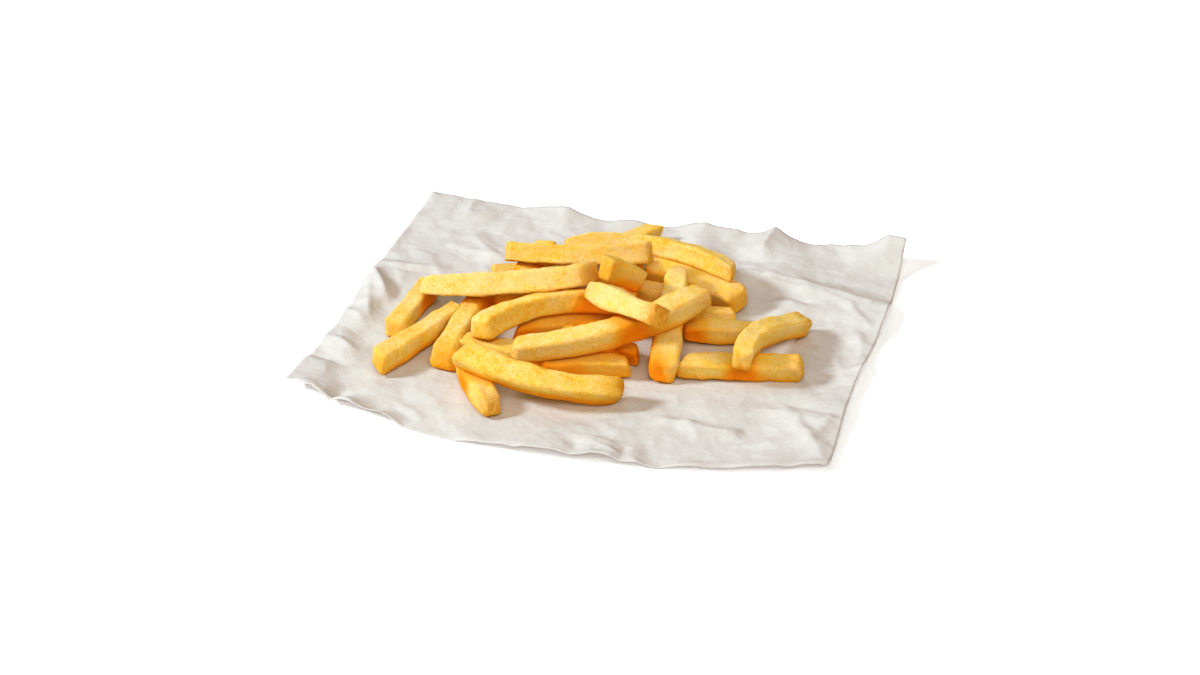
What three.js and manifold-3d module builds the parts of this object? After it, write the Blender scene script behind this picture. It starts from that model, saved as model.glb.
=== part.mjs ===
// A loose heap of thick-cut french fries on a crumpled sheet of greaseproof paper.
// Units are millimetres, +Z is up, the paper's long front edge runs along X.
// The origin is the middle of the sheet on the table.

import * as THREE from 'three';
import Module from 'manifold-3d';

// ---- paper sheet ----
const SHEET_HALF_WIDTH = 120;      // half the sheet's length along X
const SHEET_HALF_DEPTH = 106.5;    // half of its reach along Y
const SHEET_THICKNESS = 0.4;       // a stiff paper stand-in
const SHEET_REST = 0.6;            // underside height where the heap presses the sheet flat
const FRONT_BOW = 23;              // how far the front edge bulges at its middle
const EDGE_WAVE = 2;               // wander of the other three edges
const SHEET_CELLS_X = 40;
const SHEET_CELLS_Y = 35;
const FLAT_REACH = 10;             // the paper lies flat this close to a fry's centre line
const FREE_REACH = 24;             // and crumples freely from here on

// Broad crumples: each is a triangle wave across the sheet.
const CRUMPLES = 7;
const CRUMPLE_HEIGHT = 1.1;
const CRUMPLE_LIFT = 0.8;            // average height of the crumples over the flat middle
const CRUMPLE_LENGTH = 62;         // shortest wave length
const CRUMPLE_LENGTH_STEP = 17;
const CRUMPLE_SOFT = 0.06;         // rounds the wave's corners
const TURN_STEP = 0.618;           // spreads the wave directions evenly
const PHASE_STEP = 0.755;

// Creases and lifted edges: x, y of one end, x, y of the other, height, reach.
const CREASES = [
  // front edge, left to right
  [-122, -88, -112, -84, 5.0, 26],
  [-84, -101, -72, -100, 4.5, 18],
  [-4, -107, 8, -107, 1.6, 12],
  [24, -105, 32, -104, 2.2, 10],
  [60, -99, 115, -86, 1.0, 8],
  // back edge, left to right
  [-122, 106, -116, 104, 2.4, 20],
  [-60, 107, -52, 106, 2.5, 18],
  [-8, 107, 6, 106, 6.5, 22],
  [22, 106, 36, 106, 3.5, 18],
  [55, 108, 52, 92, 5.5, 14],
  [84, 107, 92, 107, 3.5, 16],
  [122, 108, 110, 105, 12.0, 26],
  // right edge and the ground right of the heap
  [120, 52, 120, 36, 2.5, 12],
  [120, -4, 119, -16, 2.2, 10],
  [50, 70, 110, 56, 3.0, 14],
  [105, 5, 112, -12, 2.2, 9],
  [84, -45, 110, -52, 1.5, 9],
  [46, -66, 76, -69, 1.6, 8],
  [20, -94, 34, -100, 1.5, 9],
  [100, -52, 116, -78, 2.0, 10],
  // left side
  [-117, 20, -104, 2, 4.5, 10],
  [-116, 10, -106, -18, 3.5, 13],
  [-118, -50, -88, -68, -1.5, 11],
  [-116, 32, -92, 36, 1.5, 9],
  [-98, 70, -92, 64, 1.2, 8],
  [-95, 104, -95, 92, 1.5, 8],
  [-84, 70, -70, 56, 1.8, 11],
];

// ---- fries ----
const EDGE_CUT = 2;                // bevel along a fry's long edges
const GAP_TO_PAPER = 0.3;
const BITE = 0.7;                  // how deep two touching fries are fused
const RINGS = [-1, -0.94, -0.62, -0.2, 0.2, 0.62, 0.94, 1];
const END_SCALE = 0.74;            // section of the end faces against the full section
const END_START = 0.94;            // the ends begin to round off here

// Each fry in the order it lands: x, y, heading, length, width, height, roll, bow, arch,
// skew of the bend, taper, and whether it lies flat on the paper (1) or on other fries (0).
const FRIES = [
  [-37.5, -65.5, -56, 44, 10, 9.5, 0, -1.5, 0, 0, 0, 1],
  [-35, -37, -1, 40, 10, 9, 0, -0.5, 0, 0, 0, 1],
  [-59.5, -20.5, 91, 66, 11, 9.5, 0, 0.5, 0, 0, -0.1, 1],
  [-76, -35.5, 70, 57, 11, 10, 5, -1, 0, 0, -0.1, 1],
  [3, -40.5, 17, 40, 10, 9, 5, 2, 0, 0, 0, 1],
  [4, -20.5, -12, 40, 9, 9, 0, 0, 0, 0, 0, 1],
  [-87.5, -10.5, 87, 44, 9.5, 9, 0, 0, 0, 0, 0, 1],
  [30.5, 40.5, -18, 52, 12.5, 10, 10, 4.5, 0, 0, 0, 1],
  [13, 31, -4, 29, 9, 9, 0, 0, 0, 0, 0, 1],
  [41.5, 19.5, 14, 26, 8, 8, -15, 0, 0, 0, 0, 1],
  [-37.5, 11.5, 37, 37, 9.5, 9.5, 0, -0.5, 0, 0, 0, 1],
  [-47, 34.4, 25, 34, 9, 9, 0, -0.5, 0, 0, 0, 1],
  [-15, -9.5, 27, 45, 10, 9, 25, 2, 0, 0, 0.08, 1],
  [-12.5, 75.5, 58, 46, 8.5, 8.5, 0, 0.5, 0, 0, 0, 1],
  [-27, 49.5, 90, 22, 10, 9.5, 0, 0, 0, 0, 0, 1],
  [31, 0, 99, 74, 10.5, 10.5, 0, 0.5, 0, 0, -0.05, 0],
  [67.5, -22.5, 13, 54, 10, 9, 10, 0.5, 0, 0, 0, 1],
  [53, 6, 12, 36, 10, 8.5, 0, 0, 0, 0, 0.12, 1],
  [38, 10.5, 100, 14, 8, 7, 0, 0, 0, 0, 0, 1],
  [-24, -19.5, 41, 58, 10.5, 10.5, -15, 8, 0, 0, 0, 0],
  [-12.5, -60, 4, 72, 11, 11, 20, -8.5, 0, 0, 0, 0],
  [78.5, -4.5, 74, 59, 10, 10, 5, 4, 3.5, 0.6, 0, 0],
  [-41.5, 29.5, 85, 32, 10, 9.5, 0, 0, 0, 0, 0, 0],
  [4.5, 21.5, 100, 54, 10, 9.5, 0, 0, 0, 0, 0, 0],
  [-46, 1.5, 6, 78, 11, 10, -25, -3.5, 0, 0, 0, 0],
  [8, -20.5, 39, 92, 10.5, 10.5, 20, -9.5, 0, 0, 0, 0],
  [7, 47.5, -5, 83, 9.5, 9, -25, 12, 0, 0, 0, 0],
  [14.3, -21.5, -36, 54, 10, 10, -30, -1, 0, 0, 0, 0],
  [-20.5, 29, 15, 65, 9.5, 9.5, -28, -3, 0, 0, -0.04, 0],
  [6.5, 4.3, 56, 24, 9.5, 10.5, 0, 0, 0, 0, 0, 0],
];
const FRY_FIELDS = ['x', 'y', 'heading', 'length', 'width', 'height', 'roll', 'bow', 'arch',
  'skew', 'taper', 'liesOnPaper'];

// ---- how the heap is dropped ----
const FIELD_HALF = 125;            // the height field covers this far each way
const FINE_RINGS = 61;             // samples along a fry while it settles
const FINE_SIDE = 6;               // samples on each side of its section
const SETTLE_BINS = 40;
const SETTLE_ROUNDS = 4;
const TANGENT_STEP = 1e-3;

const rad = THREE.MathUtils.degToRad;

// Eight corners of a rectangle with cut edges.
function section(width, height) {
  const a = width / 2;
  const b = height / 2;
  const c = EDGE_CUT;
  return [
    [a, -b + c], [a, b - c], [a - c, b], [-a + c, b],
    [-a, b - c], [-a, -b + c], [-a + c, -b], [a - c, -b],
  ];
}

// The same section with extra points along every side.
function fineSection(width, height) {
  const corners = section(width, height);
  const points = [];
  corners.forEach(([x0, y0], i) => {
    const [x1, y1] = corners[(i + 1) % corners.length];
    for (let j = 0; j < FINE_SIDE; j += 1) {
      const f = j / FINE_SIDE;
      points.push([x0 + (x1 - x0) * f, y0 + (y1 - y0) * f]);
    }
  });
  return points;
}

// Centre line of a fry in its own frame, u from -1 to 1.
function centreLine(fry, u) {
  const bend = (1 - u * u) * (1 - fry.skew * u);
  return new THREE.Vector3(u * fry.length / 2, fry.bow * bend, fry.arch * bend);
}

// How much of the full section a fry has at u.
function endScale(u) {
  const past = Math.max(0, (Math.abs(u) - END_START) / (1 - END_START));
  return 1 - (1 - END_SCALE) * past;
}

// Surface points of a fry: one ring of points for each u, relative to x, y and z of the fry.
function fryRings(fry, us, points) {
  const up = new THREE.Vector3(0, 0, 1);
  const roll = rad(fry.roll);
  const pitch = rad(fry.pitch);
  const heading = rad(fry.heading);
  return us.map((u) => {
    const centre = centreLine(fry, u);
    const ahead = centreLine(fry, u + TANGENT_STEP);
    const tangent = ahead.sub(centreLine(fry, u - TANGENT_STEP)).normalize();
    const side = new THREE.Vector3().crossVectors(up, tangent).normalize();
    const normal = new THREE.Vector3().crossVectors(tangent, side);
    const scale = endScale(u) * (1 + fry.taper * u);
    return points.map(([a, b]) => {
      const across = (Math.cos(roll) * a - Math.sin(roll) * b) * scale;
      const above = (Math.sin(roll) * a + Math.cos(roll) * b) * scale;
      const p = centre.clone().addScaledVector(side, across).addScaledVector(normal, above);
      const x = p.x * Math.cos(pitch) - p.z * Math.sin(pitch);
      const z = p.x * Math.sin(pitch) + p.z * Math.cos(pitch);
      return new THREE.Vector3(
        fry.x + x * Math.cos(heading) - p.y * Math.sin(heading),
        fry.y + x * Math.sin(heading) + p.y * Math.cos(heading),
        fry.z + z,
      );
    });
  });
}

function finePoints(fry) {
  const us = Array.from({ length: FINE_RINGS }, (_, i) => -1 + 2 * i / (FINE_RINGS - 1));
  return fryRings(fry, us, fineSection(fry.width, fry.height)).flat();
}

// Height of whatever lies under each square millimetre.
class HeightField {
  constructor(start) {
    this.size = 2 * FIELD_HALF;
    this.start = start;
    this.values = new Float64Array(this.size * this.size).fill(start);
  }

  index(p) {
    const clampCell = (v) => Math.min(this.size - 1, Math.max(0, Math.round(v + FIELD_HALF)));
    return clampCell(p.x) * this.size + clampCell(p.y);
  }

  under(p) {
    return this.values[this.index(p)];
  }

  addTop(points) {
    points.forEach((p) => {
      const i = this.index(p);
      this.values[i] = Math.max(this.values[i], p.z - BITE);
    });
  }
}

// Lowest straight line that stays on or over the two-sided set of supports:
// the pair of supports, one on each side of the middle, with the highest line over s = 0.
function restingLine(bins, heights) {
  let best = { height: -Infinity, slope: 0 };
  bins.forEach((x1, i) => {
    bins.forEach((x2, j) => {
      if (x1 < 0 && x2 >= 0 && heights[i] > -1e8 && heights[j] > -1e8) {
        const slope = (heights[j] - heights[i]) / (x2 - x1);
        const height = heights[i] - slope * x1;
        if (height > best.height) {
          best = { height, slope };
        }
      }
    });
  });
  return best;
}

// Sets a fry's height and pitch so that it rests on what is already there.
function settle(fry, field) {
  fry.z = 0;
  fry.pitch = 0;
  if (fry.liesOnPaper) {
    fry.z = field.start - Math.min(...finePoints(fry).map((p) => p.z));
    return;
  }
  for (let round = 0; round < SETTLE_ROUNDS; round += 1) {
    const heading = rad(fry.heading);
    const slope = Math.tan(rad(fry.pitch));
    const half = fry.length / 2 * Math.cos(rad(fry.pitch));
    const step = 2 * half / (SETTLE_BINS - 1);
    const bins = Array.from({ length: SETTLE_BINS }, (_, i) => -half + step * i);
    const heights = new Array(SETTLE_BINS).fill(-1e9);
    finePoints(fry).forEach((p) => {
      const s = (p.x - fry.x) * Math.cos(heading) + (p.y - fry.y) * Math.sin(heading);
      const need = field.under(p) - (p.z - (fry.z + s * slope));
      const bin = Math.min(SETTLE_BINS - 1, Math.max(0, Math.round((s + half) / step)));
      heights[bin] = Math.max(heights[bin], need);
    });
    const line = restingLine(bins, heights);
    fry.z = line.height;
    fry.pitch = THREE.MathUtils.radToDeg(Math.atan(line.slope));
  }
}

// Drops the fries one after another and returns them with their heights.
function dropFries() {
  const field = new HeightField(SHEET_REST + SHEET_THICKNESS + GAP_TO_PAPER);
  return FRIES.map((row) => {
    const fry = Object.fromEntries(FRY_FIELDS.map((name, i) => [name, row[i]]));
    settle(fry, field);
    field.addTop(finePoints(fry));
    return fry;
  });
}

// Closed solid of one fry as a manifold.
function frySolid(wasm, fry) {
  const rings = fryRings(fry, RINGS, section(fry.width, fry.height));
  const around = rings[0].length;
  const positions = rings.flat().flatMap((p) => [p.x, p.y, p.z]);
  const triangles = [];
  for (let i = 0; i + 1 < rings.length; i += 1) {
    for (let j = 0; j < around; j += 1) {
      const a = i * around + j;
      const b = i * around + (j + 1) % around;
      triangles.push(a, b, b + around, a, b + around, a + around);
    }
  }
  const last = (rings.length - 1) * around;
  for (let j = 1; j + 1 < around; j += 1) {
    triangles.push(0, j + 1, j);
    triangles.push(last, last + j, last + j + 1);
  }
  return new wasm.Manifold(new wasm.Mesh({
    numProp: 3,
    vertProperties: new Float32Array(positions),
    triVerts: new Uint32Array(triangles),
  }));
}

// Fuses the fries; a sealed hollow is filled and a loose scrap left out.
function fuseFries(wasm, fries) {
  const solids = fries.map((fry) => frySolid(wasm, fry));
  const fused = solids.reduce((sum, solid) => sum.add(solid));
  const bodies = fused.decompose();
  return bodies.reduce((a, b) => (b.volume() > a.volume() ? b : a));
}

function geometryFrom(positions, triangles) {
  const geometry = new THREE.BufferGeometry();
  geometry.setAttribute('position', new THREE.Float32BufferAttribute(positions, 3));
  geometry.setIndex(triangles);
  geometry.computeVertexNormals();
  return geometry;
}

function geometryFromManifold(solid) {
  const mesh = solid.getMesh();
  const positions = [];
  for (let i = 0; i < mesh.numVert; i += 1) {
    const at = i * mesh.numProp;
    positions.push(...mesh.vertProperties.slice(at, at + 3));
  }
  return geometryFrom(positions, Array.from(mesh.triVerts));
}

function distanceToSegment(x, y, x1, y1, x2, y2) {
  const dx = x2 - x1;
  const dy = y2 - y1;
  const along = ((x - x1) * dx + (y - y1) * dy) / (dx * dx + dy * dy);
  const f = Math.min(1, Math.max(0, along));
  return Math.hypot(x - x1 - f * dx, y - y1 - f * dy);
}

// 0 under and beside the fries, 1 well away from them.
function freedom(x, y, fries) {
  const distances = fries.map((fry) => {
    const heading = rad(fry.heading);
    const hx = Math.cos(heading) * fry.length / 2;
    const hy = Math.sin(heading) * fry.length / 2;
    const mx = fry.x - Math.sin(heading) * fry.bow;
    const my = fry.y + Math.cos(heading) * fry.bow;
    return Math.min(
      distanceToSegment(x, y, fry.x - hx, fry.y - hy, mx, my),
      distanceToSegment(x, y, mx, my, fry.x + hx, fry.y + hy),
    );
  });
  return THREE.MathUtils.smoothstep(Math.min(...distances), FLAT_REACH, FREE_REACH);
}

const fraction = (v) => v - Math.floor(v);

// Sum of softened triangle waves, about zero on average.
function crumple(x, y) {
  let sum = 0;
  for (let i = 0; i < CRUMPLES; i += 1) {
    const turn = Math.PI * fraction(TURN_STEP * (i + 1));
    const length = CRUMPLE_LENGTH + CRUMPLE_LENGTH_STEP * i;
    const along = (x * Math.cos(turn) + y * Math.sin(turn)) / length;
    const wave = 2 * fraction(along + PHASE_STEP * i) - 1;
    sum += Math.hypot(wave, CRUMPLE_SOFT) - 0.5;
  }
  return CRUMPLE_HEIGHT * sum;
}

// Each crease falls away from its line as (1 - distance / reach) squared.
function creased(x, y) {
  return CREASES.reduce((sum, [x1, y1, x2, y2, height, reach]) => {
    const near = Math.max(0, 1 - distanceToSegment(x, y, x1, y1, x2, y2) / reach);
    return sum + height * near * near;
  }, 0);
}

// Height of the sheet's underside.
function undersideHeight(x, y, fries) {
  const relief = CRUMPLE_LIFT + crumple(x, y) + creased(x, y);
  return Math.max(0, SHEET_REST + relief * freedom(x, y, fries));
}

// Plan position on the sheet: s and t run from 0 to 1, left to right and front to back.
function sheetPoint(s, t) {
  const edgeWave = (f) => EDGE_WAVE * Math.sin(1.5 * Math.PI * f) ** 2;
  const across = 2 * s - 1;
  const left = -SHEET_HALF_WIDTH + edgeWave(t);
  const right = SHEET_HALF_WIDTH - edgeWave(t);
  const front = -SHEET_HALF_DEPTH + FRONT_BOW * across * across;
  const back = SHEET_HALF_DEPTH - edgeWave(s);
  return [left + (right - left) * s, front + (back - front) * t];
}

// Thin wavy solid: the same triangles on both faces, joined by a rim.
function buildSheet(fries) {
  const columns = SHEET_CELLS_X + 1;
  const rows = SHEET_CELLS_Y + 1;
  const under = [];
  for (let j = 0; j < rows; j += 1) {
    for (let i = 0; i < columns; i += 1) {
      const [x, y] = sheetPoint(i / SHEET_CELLS_X, j / SHEET_CELLS_Y);
      under.push([x, y, undersideHeight(x, y, fries)]);
    }
  }
  const over = under.map(([x, y, z]) => [x, y, z + SHEET_THICKNESS]);
  const count = under.length;
  const triangles = [];
  for (let j = 0; j < SHEET_CELLS_Y; j += 1) {
    for (let i = 0; i < SHEET_CELLS_X; i += 1) {
      const a = j * columns + i;
      const b = a + 1;
      const c = b + columns;
      const d = a + columns;
      triangles.push(a + count, b + count, c + count, a + count, c + count, d + count);
      triangles.push(a, c, b, a, d, c);
    }
  }
  const rim = [];
  for (let i = 0; i < SHEET_CELLS_X; i += 1) {
    rim.push(i);
  }
  for (let j = 0; j < SHEET_CELLS_Y; j += 1) {
    rim.push(j * columns + SHEET_CELLS_X);
  }
  for (let i = SHEET_CELLS_X; i > 0; i -= 1) {
    rim.push(SHEET_CELLS_Y * columns + i);
  }
  for (let j = SHEET_CELLS_Y; j > 0; j -= 1) {
    rim.push(j * columns);
  }
  rim.forEach((a, i) => {
    const b = rim[(i + 1) % rim.length];
    triangles.push(a, b, b + count, a, b + count, a + count);
  });
  return geometryFrom([...under, ...over].flat(), triangles);
}

function namedMesh(name, geometry, color, roughness) {
  const material = new THREE.MeshStandardMaterial({ color, roughness, metalness: 0 });
  material.name = name;
  const mesh = new THREE.Mesh(geometry, material);
  mesh.name = name;
  return mesh;
}

const wasm = await Module();
wasm.setup();

const fries = dropFries();
const part = new THREE.Group();
part.name = 'french_fries_on_paper';
part.add(namedMesh('fries', geometryFromManifold(fuseFries(wasm, fries)), 0xe8b04a, 0.6));
part.add(namedMesh('paper', buildSheet(fries), 0xe6e3de, 0.85));

export default part;
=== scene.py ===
"""A loose heap of thick-cut french fries on a crumpled sheet of greaseproof paper.

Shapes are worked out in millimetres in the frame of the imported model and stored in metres.
"""
import math

import bpy
import numpy as np
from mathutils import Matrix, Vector


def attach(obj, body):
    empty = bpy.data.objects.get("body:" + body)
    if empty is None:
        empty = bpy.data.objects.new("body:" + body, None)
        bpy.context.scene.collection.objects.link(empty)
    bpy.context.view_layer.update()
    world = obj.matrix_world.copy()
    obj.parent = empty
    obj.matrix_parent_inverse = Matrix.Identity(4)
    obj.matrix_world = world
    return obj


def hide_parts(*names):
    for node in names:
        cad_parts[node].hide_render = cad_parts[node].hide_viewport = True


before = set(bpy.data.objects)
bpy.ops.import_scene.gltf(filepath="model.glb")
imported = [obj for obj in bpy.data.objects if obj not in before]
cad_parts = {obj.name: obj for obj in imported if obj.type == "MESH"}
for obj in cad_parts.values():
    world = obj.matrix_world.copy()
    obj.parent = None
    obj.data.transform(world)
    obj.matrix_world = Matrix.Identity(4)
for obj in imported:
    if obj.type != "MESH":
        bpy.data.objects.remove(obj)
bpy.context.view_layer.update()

MM = 0.001

# ---------------------------------------------------------------- sizes in millimetres
SHEET_HALF_WIDTH = 120.0
SHEET_HALF_DEPTH = 106.5
SHEET_THICKNESS = 0.4
# height of the underside where the heap presses the sheet flat
SHEET_REST = 0.6
FRONT_BOW = 23.0
EDGE_WAVE = 2.0
EDGE_WAVE_HALVES = 1.5
SHEET_STEP = 1.1
# the sheet lies flat this close to a fry's centre line, and crumples freely from here on
FLAT_REACH = 10.0
FREE_REACH = 24.0

# Broad crumples: triangle waves in evenly spread directions, each longer than the one before.
CRUMPLES = 7
CRUMPLE_HEIGHT = 1.1
CRUMPLE_LIFT = 0.8
CRUMPLE_LENGTH = 62.0
CRUMPLE_LENGTH_STEP = 17.0
CRUMPLE_SOFT = 0.06
TURN_STEP = 0.618
PHASE_STEP = 0.755

# Broad creases and lifted edges: x, y of one end, x, y of the other end, height, reach.
CREASES = [
    (-122, -88, -112, -84, 5.0, 26),
    (-84, -101, -72, -100, 4.5, 18),
    (-4, -107, 8, -107, 1.6, 12),
    (24, -105, 32, -104, 2.2, 10),
    (60, -99, 115, -86, 1.0, 8),
    (-122, 106, -116, 104, 2.4, 20),
    (-60, 107, -52, 106, 2.5, 18),
    (-8, 107, 6, 106, 6.5, 22),
    (22, 106, 36, 106, 3.5, 18),
    (55, 108, 52, 92, 5.5, 14),
    (84, 107, 92, 107, 3.5, 16),
    (122, 108, 110, 105, 12.0, 26),
    (120, 52, 120, 36, 2.5, 12),
    (120, -4, 119, -16, 2.2, 10),
    (50, 70, 110, 56, 3.0, 14),
    (105, 5, 112, -12, 2.2, 9),
    (84, -45, 110, -52, 1.5, 9),
    (46, -66, 76, -69, 1.6, 8),
    (20, -94, 34, -100, 1.5, 9),
    (100, -52, 116, -78, 2.0, 10),
    (-117, 20, -104, 2, 4.5, 10),
    (-116, 10, -106, -18, 3.5, 13),
    (-118, -50, -88, -68, -1.5, 11),
    (-116, 32, -92, 36, 1.5, 9),
    (-98, 70, -92, 64, 1.2, 8),
    (-95, 104, -95, 92, 1.5, 8),
    (-84, 70, -70, 56, 1.8, 11),
]

# Each fry in the order it lands: x, y, heading, length, width, height, roll, bow, arch,
# skew of the bend, taper, and whether it lies flat on the paper (1) or on other fries (0).
FRIES = [
    (-37.5, -65.5, -56, 44, 10, 9.5, 0, -1.5, 0, 0, 0, 1),
    (-35, -37, -1, 40, 10, 9, 0, -0.5, 0, 0, 0, 1),
    (-59.5, -20.5, 91, 66, 11, 9.5, 0, 0.5, 0, 0, -0.1, 1),
    (-76, -35.5, 70, 57, 11, 10, 5, -1, 0, 0, -0.1, 1),
    (3, -40.5, 17, 40, 10, 9, 5, 2, 0, 0, 0, 1),
    (4, -20.5, -12, 40, 9, 9, 0, 0, 0, 0, 0, 1),
    (-87.5, -10.5, 87, 44, 9.5, 9, 0, 0, 0, 0, 0, 1),
    (30.5, 40.5, -18, 52, 12.5, 10, 10, 4.5, 0, 0, 0, 1),
    (13, 31, -4, 29, 9, 9, 0, 0, 0, 0, 0, 1),
    (41.5, 19.5, 14, 26, 8, 8, -15, 0, 0, 0, 0, 1),
    (-37.5, 11.5, 37, 37, 9.5, 9.5, 0, -0.5, 0, 0, 0, 1),
    (-47, 34.4, 25, 34, 9, 9, 0, -0.5, 0, 0, 0, 1),
    (-15, -9.5, 27, 45, 10, 9, 25, 2, 0, 0, 0.08, 1),
    (-12.5, 75.5, 58, 46, 8.5, 8.5, 0, 0.5, 0, 0, 0, 1),
    (-27, 49.5, 90, 22, 10, 9.5, 0, 0, 0, 0, 0, 1),
    (31, 0, 99, 74, 10.5, 10.5, 0, 0.5, 0, 0, -0.05, 0),
    (67.5, -22.5, 13, 54, 10, 9, 10, 0.5, 0, 0, 0, 1),
    (53, 6, 12, 36, 10, 8.5, 0, 0, 0, 0, 0.12, 1),
    (38, 10.5, 100, 14, 8, 7, 0, 0, 0, 0, 0, 1),
    (-24, -19.5, 41, 58, 10.5, 10.5, -15, 8, 0, 0, 0, 0),
    (-12.5, -60, 4, 72, 11, 11, 20, -8.5, 0, 0, 0, 0),
    (78.5, -4.5, 74, 59, 10, 10, 5, 4, 3.5, 0.6, 0, 0),
    (-41.5, 29.5, 85, 32, 10, 9.5, 0, 0, 0, 0, 0, 0),
    (4.5, 21.5, 100, 54, 10, 9.5, 0, 0, 0, 0, 0, 0),
    (-46, 1.5, 6, 78, 11, 10, -25, -3.5, 0, 0, 0, 0),
    (8, -20.5, 39, 92, 10.5, 10.5, 20, -9.5, 0, 0, 0, 0),
    (7, 47.5, -5, 83, 9.5, 9, -25, 12, 0, 0, 0, 0),
    (14.3, -21.5, -36, 54, 10, 10, -30, -1, 0, 0, 0, 0),
    (-20.5, 29, 15, 65, 9.5, 9.5, -28, -3, 0, 0, -0.04, 0),
    (6.5, 4.3, 56, 24, 9.5, 10.5, 0, 0, 0, 0, 0, 0),
]
FRY_FIELDS = ("x", "y", "heading", "length", "width", "height", "roll", "bow", "arch", "skew",
              "taper", "lies_on_paper")

# The finish of each fry, in the same order: crispness of its long edges, paleness, how much wider
# and how much thicker it is than the plain fry; then for its near and its far end: browning, how far
# the cut slants back to the left and to the top, rounding, how much thinner the tip is, and how much
# shorter the fry is there.
FINISH = [
    (6.0, 0.2, 1.00, 1.00, (0.1, 0.0, 0.0, 2.0, 0.0, 0), (0.7, 0.15, 0.30, 3.2, 0.10, -1.2)),
    (7.5, 0.2, 1.00, 1.00, (0.0, 0.0, 0.0, 2.0, 0.0, 0), (0.2, 0.0, 0.0, 2.0, 0.0, 0)),
    (4.5, 0.0, 1.00, 1.00, (0.5, 0.1, 0.3, 4.3, -0.12, 0), (0.2, 0.0, 0.0, 2.0, 0.0, 0)),
    (6.5, 0.0, 0.88, 0.96, (0.2, 0.35, 0.1, 2.4, 0.05, -1), (0.2, 0.0, 0.0, 2.0, 0.0, 0)),
    (7.5, 0.1, 1.00, 1.00, (0.2, 0.0, 0.0, 2.0, 0.0, 0), (0.3, 0.30, 0.2, 1.8, 0.20, 0)),
    (7.5, -0.2, 1.00, 1.00, (0.2, 0.0, 0.0, 2.0, 0.0, 0), (0.4, 0.4, 0.1, 2.0, 0.10, 0)),
    (7.5, 0.2, 1.00, 1.00, (0.1, 0.0, 0.1, 2.5, 0.0, 0), (0.1, 0.0, 0.0, 2.0, 0.0, 0)),
    (7.5, 0.1, 1.00, 1.00, (0.2, 0.0, 0.0, 2.0, 0.0, 0), (0.5, -0.1, 0.15, 2.8, 0.10, 0)),
    (7.5, 0.6, 1.10, 1.00, (0.1, 0.0, 0.0, 2.0, 0.0, -13), (0.1, 0.0, 0.0, 2.0, 0.0, 0)),
    (7.5, 0.1, 1.00, 0.85, (0.1, 0.0, 0.0, 2.0, 0.0, 0), (0.2, 0.3, 0.2, 1.6, 0.25, -1)),
    (7.5, -0.2, 1.00, 1.00, (0.1, 0.0, 0.0, 2.0, 0.0, 0), (0.1, 0.0, 0.0, 2.0, 0.0, 0)),
    (7.5, 0.0, 1.00, 1.00, (0.2, 0.0, 0.0, 2.0, 0.0, 0), (0.1, 0.0, 0.0, 2.0, 0.0, 0)),
    (6.0, 0.2, 1.00, 1.08, (0.1, 0.65, 0.1, 1.6, 0.20, -1.5), (0.1, 0.0, 0.0, 2.0, 0.0, 0)),
    (8.5, 0.1, 0.90, 0.80, (0.1, 0.0, 0.0, 2.0, 0.0, 0), (0.1, 1.0, 0.0, 1.2, 0.0, 2)),
    (7.5, 0.0, 1.00, 1.00, (0.1, 0.0, 0.0, 2.0, 0.0, 0), (0.2, 0.0, 0.0, 2.0, 0.0, 0)),
    (5.0, 0.30, 1.18, 1.00, (0.25, 0.0, 0.25, 2.4, 0.08, -1), (0.7, 0.0, 0.5, 4.6, 0.38, -3)),
    (5.5, 0.1, 1.00, 1.00, (0.4, 0.5, 0.15, 2.4, 0.15, 0), (0.6, 0.0, 0.1, 3.0, 0.05, -1)),
    (6.5, 0.1, 1.00, 1.00, (0.3, 0.0, 0.0, 2.0, 0.0, 0), (0.1, -0.7, 0.1, 1.5, 0.15, 0)),
    (6.0, -0.3, 1.00, 1.00, (0.3, 0.0, 0.0, 2.0, 0.0, 0), (0.3, 0.0, 0.0, 2.0, 0.0, 0)),
    (6.5, 0.0, 1.08, 1.00, (0.0, 0.0, 0.1, 2.7, 0.0, -1), (0.3, 0.0, 0.0, 2.0, 0.0, -6)),
    (4.2, -0.1, 1.00, 1.00, (0.4, 0.2, 0.2, 4.2, -0.14, 0), (0.8, -0.15, 0.0, 3.8, 0.08, -1.5)),
    (5.5, 0.1, 1.00, 1.00, (0.1, 0.0, 0.2, 3.0, 0.0, 0), (0.7, 0.0, 0.2, 3.2, 0.12, -1)),
    (7.5, 0.0, 1.00, 1.00, (0.1, 0.0, 0.0, 2.0, 0.0, 0), (0.1, 0.0, 0.0, 2.0, 0.0, 0)),
    (7.5, -0.1, 1.25, 1.00, (0.1, 0.0, 0.0, 2.0, 0.0, 0), (0.1, 0.0, 0.0, 2.0, 0.0, 0)),
    (9.0, 0.4, 1.00, 1.00, (0.1, -0.2, 0.2, 3.6, 0.10, -2), (0.45, -0.7, 0.0, 2.2, 0.0, -1.8)),
    (5.5, 0.15, 1.00, 1.00, (0.1, 0.15, 0.1, 2.6, 0.12, 0), (0.3, 0.25, 0.1, 2.2, 0.10, 0)),
    (7.5, 0.1, 1.00, 1.00, (0.1, 0.0, 0.4, 2.0, 0.50, 0), (0.3, 0.5, 0.3, 2.6, 0.15, -2.5)),
    (8.5, 0.4, 1.00, 1.00, (0.3, 0.4, 0.0, 2.6, 0.25, 5), (0.8, 0.1, 0.15, 1.6, 0.0, 0)),
    (10.0, 0.2, 1.00, 1.00, (0.2, -0.3, 0.0, 1.5, 0.0, -1), (0.4, -0.3, 0.0, 1.5, 0.0, -1.2)),
    (8.5, -0.1, 1.00, 1.00, (0.5, 0.3, -0.3, 1.5, 0.0, 0), (0.2, 0.0, 0.0, 2.0, 0.0, 0)),
]
FINISH_FIELDS = ("crisp", "pale", "wide", "thick", "near_end", "far_end")
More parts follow.
